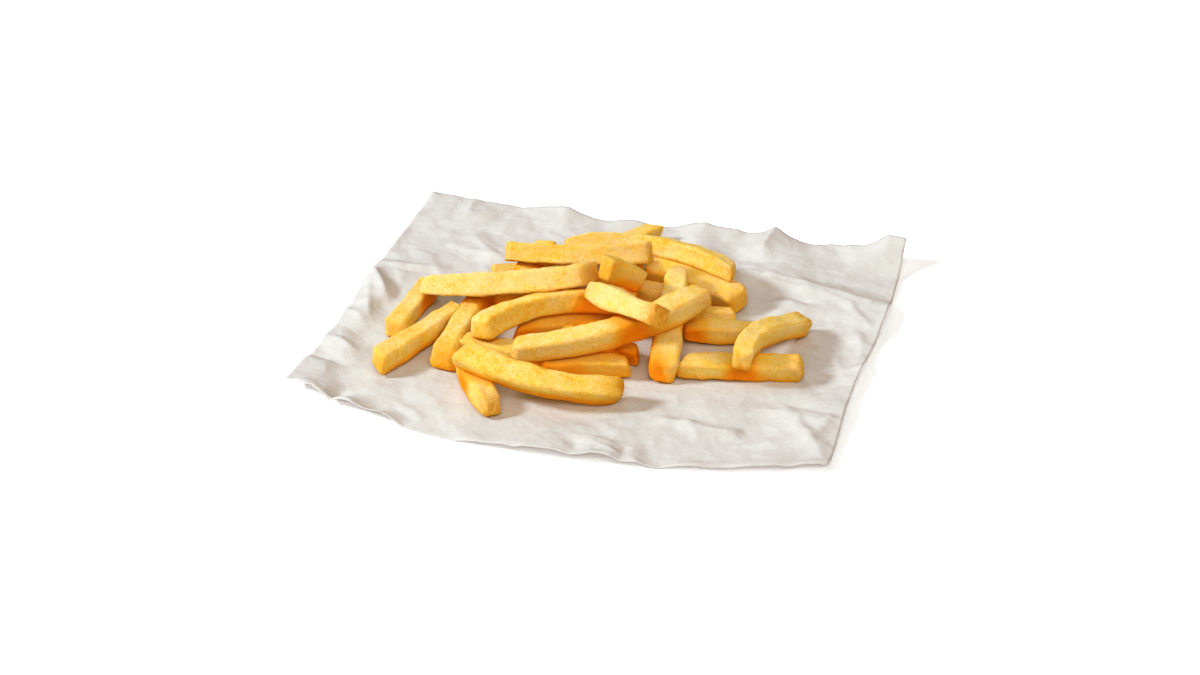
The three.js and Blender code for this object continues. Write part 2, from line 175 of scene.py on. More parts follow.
END_FIELDS = ("brown", "left_slant", "top_slant", "rounding", "thinner", "shorter")
# Degrees by which some fries, by their place in the list, are rolled further once they lie.
ROLLED_ON = {20: 14.0, 25: -12.0}

# Settling: the cut of the section's long edges, the gap to the paper, how deep one fry sinks into
# another, and the end faces, which are smaller than the section over the last share of the fry.
EDGE_CUT = 2.0
GAP_TO_PAPER = 0.3
BITE = 0.7
END_SCALE = 0.74
END_START = 0.94
# The field of heights reaches this far each way, one cell to the millimetre.
FIELD_HALF = 125
FINE_RINGS = 61
FINE_SIDE = 6
SETTLE_BINS = 40
SETTLE_ROUNDS = 4
TANGENT_STEP = 1e-3
NO_SUPPORT = -1e9

# Painted shade in the heap, by the sky that the other fries hide: directions and reaches looked along, how
# far a top must stand over a point to hide sky, and over a point right under it to cover it, how much less
# high a fry counts for itself, how much of the painted shade an upward face loses and a pale fry, and how
# often it is smoothed.
SKY_DIRECTIONS = 12
SKY_REACHES = (2.5, 5.0, 8.0, 12.0, 17.0)
SKY_MARGIN = 0.8
COVER = 4.0
OWN_DROP = 3.5
UPWARD = 0.6
PALE_SHADE_LOSS = 0.6
SOFT_PASSES = 36


# ---------------------------------------------------------------- the heap
def cut_section(width, height):
    """Points round a rectangle with cut edges: equal steps along the straight lines between its eight
    corners."""
    a, b, c = width / 2, height / 2, EDGE_CUT
    corners = np.array([(a, -b + c), (a, b - c), (a - c, b), (-a + c, b),
                        (-a, b - c), (-a, -b + c), (-a + c, -b), (a - c, -b)])
    following = np.roll(corners, -1, axis=0)
    share = np.arange(FINE_SIDE)[None, :, None] / FINE_SIDE
    points = corners[:, None] + (following - corners)[:, None] * share
    return points.reshape(-1, 2)


def centre_line(fry, u):
    """Straight line of the fry's length, bent sideways by its bow and up by its arch, each times
    (1 - u^2)(1 - skew u), with u from -1 at the near end to 1 at the far end."""
    bend = (1 - u * u) * (1 - fry["skew"] * u)
    return np.stack([u * fry["length"] / 2, fry["bow"] * bend, fry["arch"] * bend], -1)


def place_rings(fry, u, across, above):
    """Carries section points along the fry: centre line plus across times the side direction plus
    above times the upper direction, both rolled and scaled by 1 + taper u; then pitched, turned to
    the heading and moved. u has one value for each ring or point; across and above are rings by
    points."""
    u = np.broadcast_to(u, across.shape)
    centre = centre_line(fry, u)
    tangent = centre_line(fry, u + TANGENT_STEP) - centre_line(fry, u - TANGENT_STEP)
    tangent /= np.linalg.norm(tangent, axis=-1, keepdims=True)
    side = np.cross([0.0, 0.0, 1.0], tangent)
    side /= np.linalg.norm(side, axis=-1, keepdims=True)
    upper = np.cross(tangent, side)
    roll, pitch, heading = (math.radians(fry[k]) for k in ("roll", "pitch", "heading"))
    scale = 1 + fry["taper"] * u
    sideways = (math.cos(roll) * across - math.sin(roll) * above) * scale
    upwards = (math.sin(roll) * across + math.cos(roll) * above) * scale
    point = centre + sideways[..., None] * side + upwards[..., None] * upper
    x = point[..., 0] * math.cos(pitch) - point[..., 2] * math.sin(pitch)
    z = point[..., 0] * math.sin(pitch) + point[..., 2] * math.cos(pitch)
    y = point[..., 1]
    return np.stack([fry["x"] + x * math.cos(heading) - y * math.sin(heading),
                     fry["y"] + x * math.sin(heading) + y * math.cos(heading),
                     fry["z"] + z], -1)


def settling_points(fry):
    """The fry's plain shape while it settles: its cut section, smaller towards the two end faces."""
    u = np.linspace(-1, 1, FINE_RINGS)[:, None]
    past = np.maximum(0, (np.abs(u) - END_START) / (1 - END_START))
    section = cut_section(fry["width"], fry["height"]) * (1 - (1 - END_SCALE) * past)[..., None]
    return place_rings(fry, u, section[..., 0], section[..., 1]).reshape(-1, 3)


def field_cell(points):
    """Row and column of the square millimetre under each point."""
    cells = np.clip(np.floor(points[:, :2] + FIELD_HALF + 0.5).astype(int), 0, 2 * FIELD_HALF - 1)
    return cells[:, 0], cells[:, 1]


def resting_line(places, heights):
    """Of all lines through one support left of the middle and one right of it, the one that is highest
    over the middle. Returns its height there and its slope."""
    left = (places < 0) & (heights > NO_SUPPORT)
    right = (places >= 0) & (heights > NO_SUPPORT)
    x1, y1 = places[left][:, None], heights[left][:, None]
    x2, y2 = places[right][None, :], heights[right][None, :]
    slopes = (y2 - y1) / (x2 - x1)
    over_middle = y1 - slopes * x1
    best = np.unravel_index(np.argmax(over_middle), over_middle.shape)
    return over_middle[best], slopes[best]


def settle(fry, field, paper_top):
    """Sets the fry's height and pitch so that it rests on the paper or on what already lies there."""
    fry["z"], fry["pitch"] = 0.0, 0.0
    if fry["lies_on_paper"]:
        fry["z"] = paper_top - settling_points(fry)[:, 2].min()
        return
    heading = math.radians(fry["heading"])
    for _ in range(SETTLE_ROUNDS):
        points = settling_points(fry)
        slope = math.tan(math.radians(fry["pitch"]))
        half = fry["length"] / 2 * math.cos(math.radians(fry["pitch"]))
        along = ((points[:, 0] - fry["x"]) * math.cos(heading)
                 + (points[:, 1] - fry["y"]) * math.sin(heading))
        need = field[field_cell(points)] - (points[:, 2] - (fry["z"] + along * slope))
        step = 2 * half / (SETTLE_BINS - 1)
        bins = np.clip(np.floor((along + half) / step + 0.5).astype(int), 0, SETTLE_BINS - 1)
        heights = np.full(SETTLE_BINS, NO_SUPPORT)
        np.maximum.at(heights, bins, need)
        height, slope = resting_line(-half + step * np.arange(SETTLE_BINS), heights)
        fry["z"], fry["pitch"] = height, math.degrees(math.atan(slope))


def drop_fries():
    """Drops the fries one after another on a field of heights and returns them with their places,
    each with the heights around it, in which it stands less high itself."""
    paper_top = SHEET_REST + SHEET_THICKNESS + GAP_TO_PAPER
    field = np.full((2 * FIELD_HALF, 2 * FIELD_HALF), paper_top)
    fries, tops = [], []
    for index, (row, finish) in enumerate(zip(FRIES, FINISH)):
        fry = dict(zip(FRY_FIELDS + FINISH_FIELDS, row + finish))
        for end in ("near_end", "far_end"):
            fry[end] = dict(zip(END_FIELDS, fry[end]))
        settle(fry, field, paper_top)
        points = settling_points(fry)
        top = np.full(field.shape, paper_top)
        np.maximum.at(top, field_cell(points), points[:, 2] - BITE)
        field = np.maximum(field, top)
        fry["roll"] += ROLLED_ON.get(index, 0.0)
        fries.append(fry)
        tops.append(top)
    for index, fry in enumerate(fries):
        fry["around"] = np.maximum.reduce(tops[:index] + [tops[index] - OWN_DROP] + tops[index + 1:])
    return fries


def hidden_sky(points, field):
    """Share of the sky that the other fries hide from each point: the mean over directions round it of
    the steepest angle up to their tops within reach, as a share of a right angle, or all of it where
    one lies over the point."""
    steepest = np.zeros((SKY_DIRECTIONS, len(points)))
    for i in range(SKY_DIRECTIONS):
        turn = 2 * math.pi * i / SKY_DIRECTIONS
        for reach in SKY_REACHES:
            beside = points[:, :2] + reach * np.array([math.cos(turn), math.sin(turn)])
            rise = field[field_cell(beside)] - points[:, 2] - SKY_MARGIN
            steepest[i] = np.maximum(steepest[i], np.arctan2(rise, reach))
    covered = field[field_cell(points)] - points[:, 2] > COVER
    return np.maximum(steepest.mean(0) / (math.pi / 2), covered * 1.0)


# ---------------------------------------------------------------- mesh helpers
ROUGH_WAVES = 14
ROUGH_STRETCH = (0.75, 1.3)
ROUGH_SCALE = 1.2


def rough(points, wavelength, seed):
    """Sum of cosine waves of about one wavelength, with random directions and phases, scaled so that
    it mostly stays between -1 and 1."""
    rng = np.random.default_rng(seed)
    directions = rng.normal(size=(ROUGH_WAVES, 3))
    directions /= np.linalg.norm(directions, axis=1, keepdims=True)
    stretch = rng.uniform(*ROUGH_STRETCH, (ROUGH_WAVES, 1))
    phases = rng.uniform(0, 2 * math.pi, ROUGH_WAVES)
    angles = points @ (directions * stretch * 2 * math.pi / wavelength).T + phases
    return np.cos(angles).sum(-1) * math.sqrt(0.5 / ROUGH_WAVES) * ROUGH_SCALE


def smooth_step(value, low, high):
    """0 below low, 1 above high, and 3t^2 - 2t^3 between."""
    t = np.clip((value - low) / (high - low), 0, 1)
    return t * t * (3 - 2 * t)


def make_mesh(name, vertices, quads, triangles, attributes):
    """Puts whole arrays into a smooth mesh: vertices in millimetres, quads, triangles, and values or
    vectors that the vertices carry under a name."""
    mesh = bpy.data.meshes.new(name)
    corners = np.concatenate([quads.ravel(), triangles.ravel()]).astype(np.int32)
    sizes = np.concatenate([np.full(len(quads), 4), np.full(len(triangles), 3)])
    starts = np.concatenate([[0], np.cumsum(sizes)[:-1]]).astype(np.int32)
    mesh.vertices.add(len(vertices))
    mesh.vertices.foreach_set("co", (vertices * MM).astype(np.float32).ravel())
    mesh.loops.add(len(corners))
    mesh.loops.foreach_set("vertex_index", corners)
    mesh.polygons.add(len(sizes))
    mesh.polygons.foreach_set("loop_start", starts)
    mesh.polygons.foreach_set("use_smooth", np.ones(len(sizes), bool))
    for label, values in attributes.items():
        kind = "FLOAT" if values.ndim == 1 else "FLOAT_VECTOR"
        key = "value" if values.ndim == 1 else "vector"
        layer = mesh.attributes.new(label, kind, "POINT")
        layer.data.foreach_set(key, values.astype(np.float32).ravel())
    mesh.update(calc_edges=True)
    mesh.validate()
    piece = bpy.data.objects.new(name, mesh)
    bpy.context.scene.collection.objects.link(piece)
    return piece


# ---------------------------------------------------------------- fries
FIRST_SEED = 100
SEED_STEP = 10
RING_STEP = 0.65
AROUND = 64
END_ARC_STEPS = 6
END_FACE_STEPS = 4
# A slanted cut fades away over this reach, plus a spread for the depth of the cut, and takes a share
# of its depth off the fry. Every cut is a little off square.
SLANT_REACH = 6.0
SLANT_SPREAD = 2.4
SLANT_LOSS = 0.3
OFF_SQUARE = 0.12
TIP_REACH = 7.0
BROWN_REACH = 7.0
# How far a section may lean, widen at its top or bottom, turn, and swell and narrow along the fry.
LEAN, PINCH, TWIST, WAIST = 0.12, 0.12, 0.16, 0.055
WAIST_PACE = (1.5, 3.0)
# Height and length of each kind of unevenness, and the seed it adds to the fry's own.
SWELL, SWELL_LENGTH, SWELL_SEED = 0.30, 26, 4
LUMP, LUMP_LENGTH, LUMP_SEED = 0.22, 10, 1
DENT, DENT_LENGTH, DENT_SEED = 0.11, 4.2, 2
CRUST, CRUST_LENGTH, CRUST_SEED = 0.07, 1.9, 3
CHIPS, CHIPS_LENGTH, CHIPS_SEED = 0.20, 3.4, 5
SWELL_STRETCH = (1, 0.3, 0.3)
GRAIN_STRETCH = (0.8, 1, 1)
GRAIN_SPREAD = 500
CRUST_SHIFT = 31
FACE_SINK = 0.20
# Where a side counts as flat and where as an edge, as shares of the way from its middle to its
# corner, and over which distances from the end face the sides begin and the end's own edge fades.
FLAT_SHARES = (0.15, 0.95)
EDGE_SHARES = (0.62, 0.98)
SIDE_DISTANCES = (0.5, 5.0)
END_EDGE_DISTANCES = (0.6, 2.2)
LEAST_SHARE = 0.05


def end_profile(fry, rounding):
    """From the middle of an end face outwards: share of the full section, and distance from the end.
    The face is flat and a quarter circle joins it to the sides."""
    half = min(fry["width"], fry["height"]) / 2
    face = np.linspace(0, 1, END_FACE_STEPS + 1)[1:-1] * (1 - rounding / half)
    turn = np.linspace(0, math.pi / 2, END_ARC_STEPS + 1)
    arc = 1 - rounding * (1 - np.sin(turn)) / half
    share = np.concatenate([face, arc])
    inward = np.concatenate([np.zeros(len(face)), rounding * (1 - np.cos(turn))])
    return share, inward


def half_section(fry):
    """Half the finished fry's width and half its height."""
    return fry["wide"] * fry["width"] / 2, fry["thick"] * fry["height"] / 2


def ring_places(fry, start, stop):
    """How far along the fry each ring lies and its share of the full section: the profiles of both
    ends and even steps between them."""
    near_share, near_in = end_profile(fry, fry["near_end"]["rounding"])
    far_share, far_in = end_profile(fry, fry["far_end"]["rounding"])
    body = np.arange(start + near_in[-1] + RING_STEP, stop - far_in[-1] - RING_STEP / 2, RING_STEP)
    along = np.concatenate([start + near_in, body, stop - far_in[::-1]])
    share = np.concatenate([near_share, np.ones(len(body)), far_share[::-1]])
    return np.repeat(along[:, None], AROUND, 1), share[:, None]


def slanted(along, end, sign, slants, across, above, half_width, half_height):
    """Moves points near an end inwards by the cut's slant: the left slope times the distance across
    plus the top slope times the distance above, fading away as exp(-(distance / reach)^2)."""
    left, top = slants
    depth = abs(left) * half_width + abs(top) * half_height
    recess = left * across + top * above + SLANT_LOSS * depth
    reach = SLANT_REACH + SLANT_SPREAD * depth
    return along + sign * recess * np.exp(-((along - end) / reach) ** 2)


def section_points(fry, along, share, start, stop, rng):
    """The points of every ring: how far along, across and above the centre line they lie.

    A ring is a superellipse |x/a|^n + |y/b|^n = 1 at even angles, leaning a little to one side, wider
    at its top or bottom, slowly wider and narrower along the fry, turned about the centre line by a
    small twist times u, thinner towards a pointed tip, and cut off square or at a slant."""
    near_end, far_end = fry["near_end"], fry["far_end"]
    (a, b), n = half_section(fry), fry["crisp"]
    angle = np.arange(AROUND) * 2 * math.pi / AROUND
    radius = (np.abs(np.cos(angle) / a) ** n + np.abs(np.sin(angle) / b) ** n) ** (-1 / n)
    across = share * radius * np.cos(angle)
    above = share * radius * np.sin(angle)
    lean, pinch, twist = rng.uniform(-1, 1, 3) * [LEAN, PINCH, TWIST]
    phases, paces = rng.uniform(0, 2 * math.pi, 2), rng.uniform(*WAIST_PACE, 2)
    u = along / (fry["length"] / 2) - 1
    tips = (1 - near_end["thinner"] * np.exp(-((along - start) / TIP_REACH) ** 2)
            - far_end["thinner"] * np.exp(-((stop - along) / TIP_REACH) ** 2))
    across, above = (across * (1 + pinch * above / b) + lean * above) * tips, above * tips
    across = across * (1 + WAIST * np.cos(paces[0] * u + phases[0]))
    above = above * (1 + WAIST * np.cos(paces[1] * u + phases[1]))
    turn = twist * u
    across, above = (across * np.cos(turn) - above * np.sin(turn),
                     across * np.sin(turn) + above * np.cos(turn))
    for end, sign, look in ((start, 1, near_end), (stop, -1, far_end)):
        slants = np.array([look["left_slant"], look["top_slant"]]) + rng.uniform(-OFF_SQUARE, OFF_SQUARE, 2)
        along = slanted(along, end, sign, slants, across, above, a, b)
    return along, across, above


def outward_normals(points):
    """Unit normals of a grid of rings: the step round the ring times the step along the fry."""
    down_rings = np.gradient(points, axis=0)
    round_ring = np.roll(points, -1, axis=1) - np.roll(points, 1, axis=1)
    normal = np.cross(round_ring, down_rings)
    return normal / (np.linalg.norm(normal, axis=-1, keepdims=True) + 1e-12)


def unevenness(local, grain, sink, edge, seed):
    """How far the surface moves along its normal: a slow swelling, lumps, smaller dents and fine crust,
    less the sink of the flat sides and less chips off the edges."""
    move = (SWELL * rough(local * SWELL_STRETCH, SWELL_LENGTH, seed + SWELL_SEED)
            + LUMP * rough(grain, LUMP_LENGTH, seed + LUMP_SEED))
    move += (DENT * rough(grain, DENT_LENGTH, seed + DENT_SEED)
             + CRUST * rough(local + CRUST_SHIFT, CRUST_LENGTH, seed + CRUST_SEED))
    move -= sink
    move -= CHIPS * edge * np.abs(rough(local, CHIPS_LENGTH, seed + CHIPS_SEED))
    return move


def softened(values):
    """Each value replaced several times by the mean of itself and its four neighbours along and round
    the fry."""
    for _ in range(SOFT_PASSES):
        ends = np.pad(values, ((1, 1), (0, 0)), mode="edge")
        values = (values + ends[:-2] + ends[2:] + np.roll(values, 1, 1) + np.roll(values, -1, 1)) / 5
    return values


def with_poles(values):
    """The values of all ring points and, after them, the mean of the first ring and of the last."""
    flat = values.reshape(-1, *values.shape[2:])
    return np.concatenate([flat, values[[0, -1]].mean(1)])


def fry_surface(fry, seed):
    """One fry as a grid of rings closed by a point at each end: its section carried along the bent
    centre line, and every point then moved along its normal by the unevenness."""
    rng = np.random.default_rng(seed)
    near_end, far_end, length = fry["near_end"], fry["far_end"], fry["length"]
    start, stop = near_end["shorter"], length - far_end["shorter"]
    along, share = ring_places(fry, start, stop)
    along, across, above = section_points(fry, along, share, start, stop, rng)
    local = np.stack([along - length / 2, across, above], -1)
    points = place_rings(fry, along / (length / 2) - 1, across, above)
    normal = outward_normals(points)

    a, b = half_section(fry)
    to_corner = np.minimum(np.abs(across) / a, np.abs(above) / b) / np.maximum(share, LEAST_SHARE)
    from_end = np.minimum(along - start, stop - along)
    flat = 1 - smooth_step(to_corner, *FLAT_SHARES)
    sink = FACE_SINK * flat * smooth_step(from_end, *SIDE_DISTANCES)
    edge = np.maximum(smooth_step(to_corner, *EDGE_SHARES),
                      1 - smooth_step(from_end, *END_EDGE_DISTANCES))
    grain = local * GRAIN_STRETCH + rng.uniform(-GRAIN_SPREAD, GRAIN_SPREAD, 3)
    points = points + normal * unevenness(local, grain, sink, edge, seed)[..., None]

    # Painted shade: the share of sky that the other fries hide from each point, less on upward faces and on
    # pale fries, smoothed and carried on the mesh for the colour.
    painted_shade = hidden_sky(points.reshape(-1, 3), fry["around"]).reshape(points.shape[:2])
    painted_shade = softened(painted_shade * (1 - UPWARD * np.maximum(0, normal[..., 2])))
    painted_shade *= 1 - PALE_SHADE_LOSS * max(0, fry["pale"])
    brown = (near_end["brown"] * np.exp(-((along - start) / BROWN_REACH) ** 2)
             + far_end["brown"] * np.exp(-((stop - along) / BROWN_REACH) ** 2))
    return {
        "vertices": with_poles(points),
        "rings": len(points),
        "grain": with_poles(grain),
        "edge": np.concatenate([edge.ravel(), [0, 0]]),
        "brown": with_poles(brown),
        "painted_shade": with_poles(painted_shade),
        "pale": np.full(points.shape[0] * AROUND + 2, fry["pale"]),
    }


def grid_faces(rings):
    """Quads between neighbouring rings and a fan of triangles to the point at each end."""
    ring = np.arange(rings - 1)[:, None] * AROUND
    spoke = np.arange(AROUND)[None, :]
    following = (spoke + 1) % AROUND
    quads = np.stack([ring + spoke, ring + following, ring + AROUND + following,
                      ring + AROUND + spoke], -1).reshape(-1, 4)
    last, pole = (rings - 1) * AROUND, rings * AROUND
    spoke, following = spoke[0], following[0]
    near = np.stack([following, spoke, np.full(AROUND, pole)], -1)
    far = np.stack([last + spoke, last + following, np.full(AROUND, pole + 1)], -1)
    return quads, np.concatenate([near, far])


def join_fries(name, fries):
    """Joins whole fries into one mesh, each with its own seed."""
    surfaces = [fry_surface(fry, FIRST_SEED + SEED_STEP * index) for index, fry in fries]
    starts = np.cumsum([0] + [len(s["vertices"]) for s in surfaces])
    faces = [grid_faces(s["rings"]) for s in surfaces]
    quads = np.concatenate([q + start for (q, _), start in zip(faces, starts)])
    triangles = np.concatenate([t + start for (_, t), start in zip(faces, starts)])
    joined = {key: np.concatenate([s[key] for s in surfaces]) for key in surfaces[0] if key != "rings"}
    vertices = joined.pop("vertices")
    return make_mesh(name, vertices, quads, triangles, joined)


# ---------------------------------------------------------------- paper
FACET_SEED = 41
# Size of a facet, height, turn of its lattice.
FACETS = [(27.0, 1.5, 0.3), (13.0, 0.95, 1.1), (6.5, 0.48, 2.0)]
FACET_TABLE = 64
FACETS_UNDER_HEAP = 0.3
# Folds and facets wander sideways by this much, over these lengths.
WANDER = 4.0
WANDER_X_LENGTHS = (13, 31)
WANDER_Y_LENGTHS = (17, 37)

# Sharper folds over the broad creases, in the same columns.
FOLDS = [
    (-104, 14, -96, 0, -1.2, 5),
    (-120, -14, -104, -22, 1.0, 8),
    (-120, -26, -99, -36, -1.2, 9),
    (-118, -40, -95, -54, 1.3, 8),
    (-121, -56, -90, -66, -1.6, 8),
    (-98, -55, -86, -69, 0.8, 4),
    (-104, -88, -84, -96, 3.0, 12),
    (-70, -84, -53, -93, 0.8, 6),
    (-68, -90, -52, -98, -0.6, 4),
    (-22, -109, -11, -94, 0.9, 9),
    (9, -92, 25, -96, 0.7, 6),
    (-93, 64, -79, 88, -1.2, 8),
    (-100, 63, -64, 54, 1.0, 7),
    (-76, 91, -60, 92, 0.8, 7),
    (-104, 81, -90, 92, 0.8, 7),
    (-116, 28, -92, 34, -0.7, 4),
    (-4, 111, 0, 96, 1.0, 6),
    (48, 72, 59, 69, -1.5, 7),
    (46, 66, 92, 57, 1.0, 5),
    (50, 58, 85, 49, -1.0, 6),
    (92, 57, 105, 51, 0.8, 5),
    (105, 50, 112, 36, 1.0, 6),
    (108, 26, 114, 10, 1.2, 9),
    (106, -10, 119, 2, 0.9, 6),
    (46, -68, 55, -67, 0.7, 5),
    (55, -67, 61, -73, 0.7, 5),
    (61, -73, 74, -66, 0.9, 5),
    (87, -52, 93, -45, 0.8, 6),
    (93, -45, 105, -47, 0.8, 6),
    (78, -75, 90, -72, 0.6, 5),
    (97, -57, 105, -68, 0.9, 6),
    (105, -68, 111, -49, 1.2, 7),
    (111, -49, 117, -49, 0.8, 5),
    (20, -93, 32, -97, 0.6, 5),
    (112, -86, 119, -84, 2.0, 8),
    (-124, -86, -114, -82, -2.2, 16),
    (-94, -94, -94, -86, -2.5, 7),
    (-54, -100, -51, -92, -2.0, 8),
    (-14, -108, -12, -100, -1.2, 9),
    (12, -108, 12, -99, -1.5, 8),
    (34, -106, 34, -97, -1.4, 9),
]


def distance_to_segment(x, y, x1, y1, x2, y2):
    """Distance of each point from the straight piece between two ends."""
    dx, dy = x2 - x1, y2 - y1
    share = np.clip(((x - x1) * dx + (y - y1) * dy) / (dx * dx + dy * dy), 0, 1)
    return np.hypot(x - x1 - share * dx, y - y1 - share * dy)


def freedom(x, y, fries):
    """0 under and beside the fries' centre lines, 1 well away from them."""
    nearest = np.full(x.shape, np.inf)
    for fry in fries:
        heading = math.radians(fry["heading"])
        hx, hy = (f(heading) * fry["length"] / 2 for f in (math.cos, math.sin))
        mx = fry["x"] - math.sin(heading) * fry["bow"]
        my = fry["y"] + math.cos(heading) * fry["bow"]
        near = distance_to_segment(x, y, fry["x"] - hx, fry["y"] - hy, mx, my)
        far = distance_to_segment(x, y, mx, my, fry["x"] + hx, fry["y"] + hy)
        nearest = np.minimum(nearest, np.minimum(near, far))
    return smooth_step(nearest, FLAT_REACH, FREE_REACH)


def folded_waves(x, y):
    """Sum of softened triangle waves across the sheet in evenly spread directions, each less its mean
    height of a half."""
    total = np.zeros(x.shape)
    for i in range(CRUMPLES):
        turn = math.pi * ((TURN_STEP * (i + 1)) % 1)
        along = (x * math.cos(turn) + y * math.sin(turn)) / (CRUMPLE_LENGTH + CRUMPLE_LENGTH_STEP * i)
        wave = 2 * ((along + PHASE_STEP * i) % 1) - 1
        total += np.hypot(wave, CRUMPLE_SOFT) - 0.5
    return total


def creased(x, y, creases):
    """Each crease falls away from its line as height times (1 - distance / reach) squared."""
    total = np.zeros(x.shape)
    for x1, y1, x2, y2, height, reach in creases:
        near = np.maximum(0, 1 - distance_to_segment(x, y, x1, y1, x2, y2) / reach)
        total += height * near * near
    return total


def facets(x, y, cell, turn, seed):
    """Flat three-cornered facets: random heights on the points of a triangular lattice, joined by
    planes."""
    heights = np.random.default_rng(seed).uniform(-1, 1, (FACET_TABLE, FACET_TABLE))
    turned_x = x * math.cos(turn) + y * math.sin(turn)
    turned_y = y * math.cos(turn) - x * math.sin(turn)
    v = turned_y * 2 / math.sqrt(3) / cell
    u = turned_x / cell - v / 2
    i, j = np.floor(u).astype(int), np.floor(v).astype(int)
    fu, fv = u - i, v - j

    def corner(di, dj):
        return heights[(i + di) % FACET_TABLE, (j + dj) % FACET_TABLE]

    first = corner(0, 0) * (1 - fu - fv) + corner(1, 0) * fu + corner(0, 1) * fv
    second = corner(1, 1) * (fu + fv - 1) + corner(0, 1) * (1 - fu) + corner(1, 0) * (1 - fv)
    return np.where(fu + fv < 1, first, second)


def underside(x, y, fries):
    """Height of the sheet's underside: the flat rest under the heap, broad crumples and creases away
    from it, and small facets all over, never below the table."""
    free = freedom(x, y, fries)
    bent_x = x + WANDER * np.sin(y / WANDER_X_LENGTHS[0]) * np.cos(x / WANDER_X_LENGTHS[1])
    bent_y = y + WANDER * np.sin(x / WANDER_Y_LENGTHS[0]) * np.cos(y / WANDER_Y_LENGTHS[1])
    relief = CRUMPLE_LIFT + creased(x, y, CREASES) + creased(bent_x, bent_y, FOLDS)
    relief += CRUMPLE_HEIGHT * folded_waves(x, y)
    faceted = sum(height * facets(bent_x, bent_y, cell, turn, FACET_SEED + i)
                  for i, (cell, height, turn) in enumerate(FACETS))
    near_heap = FACETS_UNDER_HEAP + (1 - FACETS_UNDER_HEAP) * free
    return np.maximum(0, SHEET_REST + relief * free + faceted * near_heap)


def sheet_grid(columns, rows):
    """Plan places on the sheet, in even shares between its edges. The front edge falls back from its
    middle with the square of the way to a corner; the others wave inwards as the square of a sine."""
    s, t = np.meshgrid(np.linspace(0, 1, columns + 1), np.linspace(0, 1, rows + 1))
    wave_s, wave_t = (EDGE_WAVE * np.sin(EDGE_WAVE_HALVES * math.pi * f) ** 2 for f in (s, t))
    left, right = -SHEET_HALF_WIDTH + wave_t, SHEET_HALF_WIDTH - wave_t
    front = -SHEET_HALF_DEPTH + FRONT_BOW * (2 * s - 1) ** 2
    back = SHEET_HALF_DEPTH - wave_s
    return left + (right - left) * s, front + (back - front) * t


def build_sheet(fries):
    """Both faces of the sheet on one grid, an upper one a paper's thickness above the lower, and a rim."""
    columns = round(2 * SHEET_HALF_WIDTH / SHEET_STEP)
    rows = round(2 * SHEET_HALF_DEPTH / SHEET_STEP)
    x, y = sheet_grid(columns, rows)
    lower = np.stack([x, y, underside(x, y, fries)], -1).reshape(-1, 3)
    upper = lower + [0, 0, SHEET_THICKNESS]
    index = np.arange(len(lower)).reshape(rows + 1, columns + 1)
    a, b, c, d = index[:-1, :-1], index[:-1, 1:], index[1:, 1:], index[1:, :-1]
    top = np.stack([a, b, c, d], -1).reshape(-1, 4) + len(lower)
    bottom = np.stack([a, d, c, b], -1).reshape(-1, 4)
    rim = np.concatenate([index[0, :-1], index[:-1, -1], index[-1, :0:-1], index[:0:-1, 0]])
    after = np.roll(rim, -1)
    wall = np.stack([rim, after, after + len(lower), rim + len(lower)], -1)
    quads = np.concatenate([top, bottom, wall])
    return make_mesh("crumpled_sheet", np.concatenate([lower, upper]), quads,
                     np.zeros((0, 3), int), {})


# ---------------------------------------------------------------- material helpers
CONE_WANDER = 0.7
CONE_WANDER_SCALE = 0.6
BLACK, WHITE = (0.0,) * 3, (1.0,) * 3
GREY_10, GREY_35, GREY_45, GREY_60, GREY_70, GREY_85 = (
    (v,) * 3 for v in (0.10, 0.35, 0.45, 0.60, 0.70, 0.85))


def new_material(name):
    """A material with an empty node tree, its Principled shader and its output."""
    material = bpy.data.materials.new(name)
    material.use_nodes = True
    tree = material.node_tree
    tree.nodes.clear()
    shader = tree.nodes.new("ShaderNodeBsdfPrincipled")
    output = tree.nodes.new("ShaderNodeOutputMaterial")
    tree.links.new(shader.outputs[0], output.inputs["Surface"])
    return material, tree, shader


def noise(tree, vector, scale, detail=3.0, roughness=0.55, distortion=0.0):
    """A noise texture's value on the given coordinates."""
    node = tree.nodes.new("ShaderNodeTexNoise")
    node.inputs["Scale"].default_value = scale
    node.inputs["Detail"].default_value = detail
    node.inputs["Roughness"].default_value = roughness
    node.inputs["Distortion"].default_value = distortion
    tree.links.new(vector, node.inputs["Vector"])
    return node.outputs["Fac"]


def cones(tree, vector, scale):
    """Low cones side by side with crisp valleys between them, on coordinates that wander a little."""
    wander = tree.nodes.new("ShaderNodeTexNoise")
    wander.inputs["Scale"].default_value = scale * CONE_WANDER_SCALE
    tree.links.new(vector, wander.inputs["Vector"])
    shifted = tree.nodes.new("ShaderNodeVectorMath")
    shifted.operation = "MULTIPLY_ADD"
    tree.links.new(wander.outputs["Color"], shifted.inputs[0])
    shifted.inputs[1].default_value = (CONE_WANDER / scale,) * 3
    tree.links.new(vector, shifted.inputs[2])
    cell = tree.nodes.new("ShaderNodeTexVoronoi")
    cell.inputs["Scale"].default_value = scale
    tree.links.new(shifted.outputs["Vector"], cell.inputs["Vector"])
    return cell.outputs["Distance"]


def ramp(tree, value, stops):
    """A colour or grey that follows a value through the given stops."""
    node = tree.nodes.new("ShaderNodeValToRGB")
    elements = node.color_ramp.elements
    while len(elements) > 1:
        elements.remove(elements[-1])
    for i, (position, colour) in enumerate(stops):
        element = elements[0] if i == 0 else elements.new(position)
        element.position = position
        element.color = (*colour, 1)
    tree.links.new(value, node.inputs["Fac"])
    return node.outputs["Color"]


